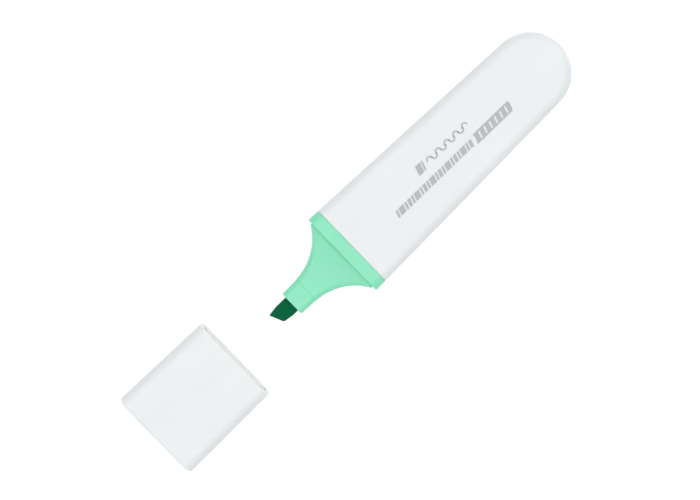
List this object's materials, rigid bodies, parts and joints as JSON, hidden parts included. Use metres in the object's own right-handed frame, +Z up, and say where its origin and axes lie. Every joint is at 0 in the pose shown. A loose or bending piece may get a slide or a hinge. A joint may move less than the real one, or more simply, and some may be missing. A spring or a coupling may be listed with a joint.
{
  "type": "highlighter",
  "caption": "Flat highlighter with a chisel nib, a flared coloured front section and a white barrel, its matching cap drawn off the nib and left in line with it.",
  "frame": {"origin": "under the middle of pen and cap together, on the surface that the pen's back face and the cap lie on", "axes": "+X along the pen from the cap and the nib to the rounded rear of the barrel, +Y across the broad face, +Z up out of the broad face"},
  "size_m": [0.165, 0.0296, 0.015],
  "materials": {
    "white_plastic": "satin moulded polypropylene",
    "mint_plastic": "satin moulded polypropylene",
    "nib_felt": "bonded fibre, wet with ink",
    "reservoir_fibre": "soft fibre, soaked with ink",
    "clear_film": "smooth film",
    "natural_plastic": "unpigmented soft plastic"
  },
  "bodies": {
    "pen_body": {"barrel": "white_plastic", "front_section": "mint_plastic", "nib": "nib_felt", "ink_reservoir": "reservoir_fibre", "reservoir_wrap": "clear_film"},
    "cap_body": {"cap": "white_plastic", "inner_cap": "natural_plastic"}
  },
  "joints": [
    {"name": "cap_slide", "type": "slide", "parent": "pen_body", "child": "cap_body", "axis": [1, 0, 0], "range_m": [0, 0.04385]}
  ]
}
